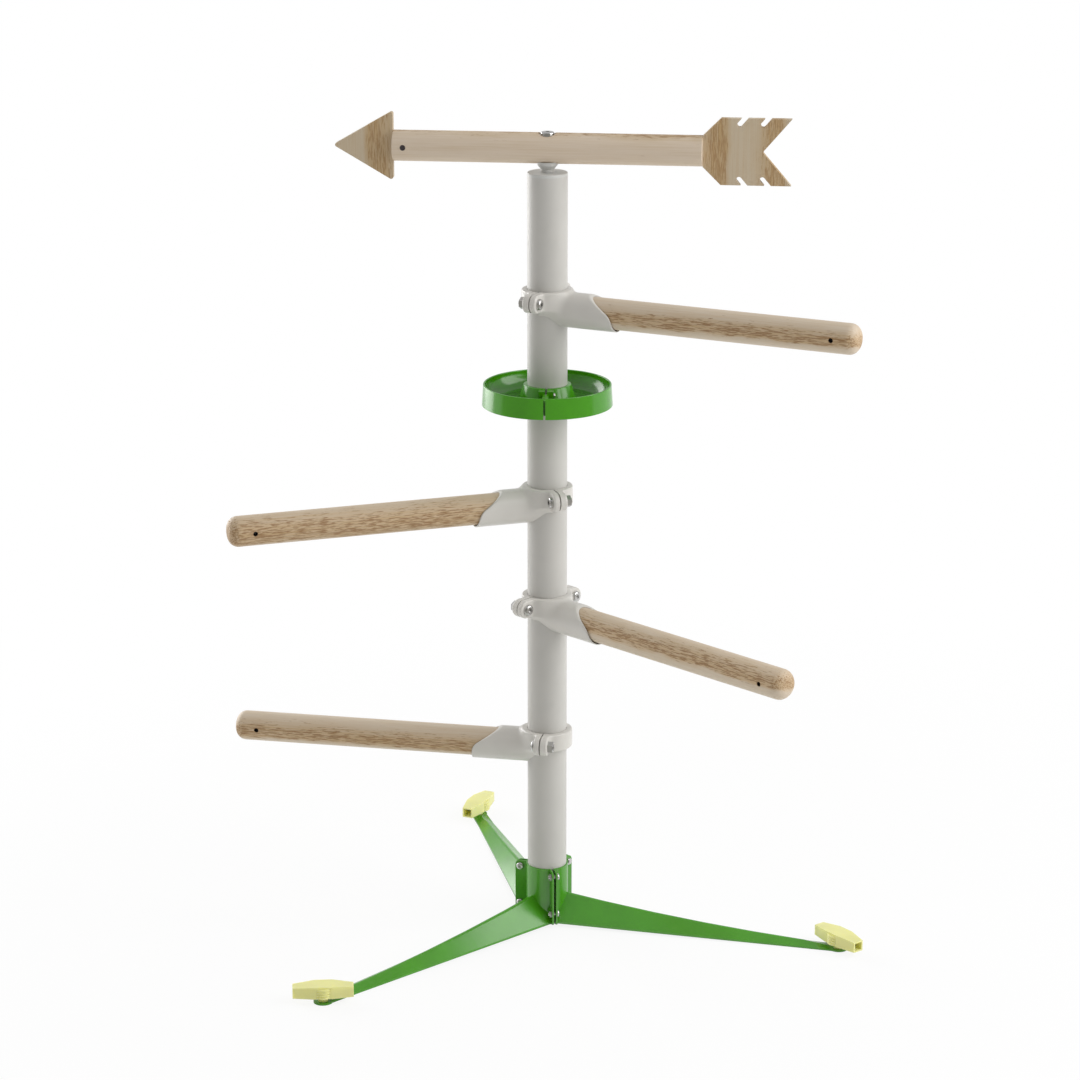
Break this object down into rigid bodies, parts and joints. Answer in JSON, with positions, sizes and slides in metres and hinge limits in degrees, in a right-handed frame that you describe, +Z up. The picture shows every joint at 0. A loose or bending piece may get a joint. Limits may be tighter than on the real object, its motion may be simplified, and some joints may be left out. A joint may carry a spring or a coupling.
{
  "type": "chicken perch",
  "caption": "Free-standing perch tree for hens: a pole on folded legs with clamped round perches that slide and swivel, a treat dish and a turning wooden arrow on top.",
  "frame": {"origin": "on the floor at the pole's axis, at the centre of the foot plug's underside", "axes": "+Z up along the pole, +Y along the rear leg, +X to the right seen from the front"},
  "size_m": [0.7657, 0.782, 1.0516],
  "materials": {
    "pole": "fine satin powder coat, light warm grey",
    "cap_plastic": "satin, light warm grey",
    "leg_steel": "satin powder coat, leaf green",
    "fastener_steel": "bright zinc plate",
    "perch_wood": "fine sanded and oiled, light brown with dark pores",
    "bracket_plastic": "satin moulded, light warm grey",
    "sleeve_rubber": "matt",
    "dish_plastic": "semi-gloss moulded, leaf green",
    "peg_plastic": "satin moulded, pale yellow",
    "vane_wood": "fine sanded and oiled, light brown with dark pores",
    "plate_wood": "fine sanded and oiled, laid up in light and dark strips",
    "pin_wood": "matt, stained dark"
  },
  "bodies": {
    "stand": {"pole": "pole", "pole_cap": "cap_plastic", "pole_foot": "cap_plastic", "leg_front_left": "leg_steel", "leg_front_right": "leg_steel", "leg_rear": "leg_steel", "base_bolts": "fastener_steel", "base_nuts": "fastener_steel", "pivot_bolt": "fastener_steel", "pivot_washer": "fastener_steel"},
    "vane": {"vane_shaft": "vane_wood", "vane_head": "plate_wood", "vane_tail": "plate_wood", "vane_pin": "pin_wood", "vane_bush": "cap_plastic"},
    "dish": {"dish_left": "dish_plastic", "dish_right": "dish_plastic", "dish_screws": "fastener_steel"},
    "sleeve_top": {"grip_sleeve_top": "sleeve_rubber"},
    "perch_top": {"perch_rod_top": "perch_wood", "bracket_socket_top": "bracket_plastic", "bracket_clamp_top": "bracket_plastic", "bracket_bolts_top": "fastener_steel", "bracket_nuts_top": "fastener_steel", "perch_screw_top": "fastener_steel"},
    "sleeve_upper": {"grip_sleeve_upper": "sleeve_rubber"},
    "perch_upper": {"perch_rod_upper": "perch_wood", "bracket_socket_upper": "bracket_plastic", "bracket_clamp_upper": "bracket_plastic", "bracket_bolts_upper": "fastener_steel", "bracket_nuts_upper": "fastener_steel", "perch_screw_upper": "fastener_steel"},
    "sleeve_lower": {"grip_sleeve_lower": "sleeve_rubber"},
    "perch_lower": {"perch_rod_lower": "perch_wood", "bracket_socket_lower": "bracket_plastic", "bracket_clamp_lower": "bracket_plastic", "bracket_bolts_lower": "fastener_steel", "bracket_nuts_lower": "fastener_steel", "perch_screw_lower": "fastener_steel"},
    "sleeve_bottom": {"grip_sleeve_bottom": "sleeve_rubber"},
    "perch_bottom": {"perch_rod_bottom": "perch_wood", "bracket_socket_bottom": "bracket_plastic", "bracket_clamp_bottom": "bracket_plastic", "bracket_bolts_bottom": "fastener_steel", "bracket_nuts_bottom": "fastener_steel", "perch_screw_bottom": "fastener_steel"},
    "peg_front_left": {"peg_front_left": "peg_plastic"},
    "peg_front_right": {"peg_front_right": "peg_plastic"},
    "peg_rear": {"peg_rear": "peg_plastic"}
  },
  "joints": [
    {"name": "vane_turn", "type": "hinge", "parent": "stand", "child": "vane", "pos_m": [0, 0, 1.0105], "axis": [0, 0, 1], "continuous": true},
    {"name": "perch_top_slide", "type": "slide", "parent": "stand", "child": "sleeve_top", "axis": [0, 0, 1], "range_m": [-0.036, 0.13]},
    {"name": "perch_top_swivel", "type": "hinge", "parent": "sleeve_top", "child": "perch_top", "pos_m": [0, 0, 0.8118], "axis": [0, 0, 1], "continuous": true},
    {"name": "perch_upper_slide", "type": "slide", "parent": "stand", "child": "sleeve_upper", "axis": [0, 0, 1], "range_m": [-0.047, 0.052]},
    {"name": "perch_upper_swivel", "type": "hinge", "parent": "sleeve_upper", "child": "perch_upper", "pos_m": [0, 0, 0.5602], "axis": [0, 0, 1], "continuous": true},
    {"name": "perch_lower_slide", "type": "slide", "parent": "stand", "child": "sleeve_lower", "axis": [0, 0, 1], "range_m": [-0.066, 0.047]},
    {"name": "perch_lower_swivel", "type": "hinge", "parent": "sleeve_lower", "child": "perch_lower", "pos_m": [0, 0, 0.4179], "axis": [0, 0, 1], "continuous": true},
    {"name": "perch_bottom_slide", "type": "slide", "parent": "stand", "child": "sleeve_bottom", "axis": [0, 0, 1], "range_m": [-0.135, 0.066]},
    {"name": "perch_bottom_swivel", "type": "hinge", "parent": "sleeve_bottom", "child": "perch_bottom", "pos_m": [0, 0, 0.2377], "axis": [0, 0, 1], "continuous": true},
    {"name": "dish_slide", "type": "slide", "parent": "stand", "child": "dish", "axis": [0, 0, 1], "range_m": [-0.052, 0.036]},
    {"name": "peg_front_left_turn", "type": "hinge", "parent": "stand", "child": "peg_front_left", "pos_m": [-0.33342, -0.1925, 0.012], "axis": [0, 0, 1], "continuous": true},
    {"name": "peg_front_right_turn", "type": "hinge", "parent": "stand", "child": "peg_front_right", "pos_m": [0.33342, -0.1925, 0.012], "axis": [0, 0, 1], "continuous": true},
    {"name": "peg_rear_turn", "type": "hinge", "parent": "stand", "child": "peg_rear", "pos_m": [0, 0.385, 0.012], "axis": [0, 0, 1], "continuous": true}
  ]
}
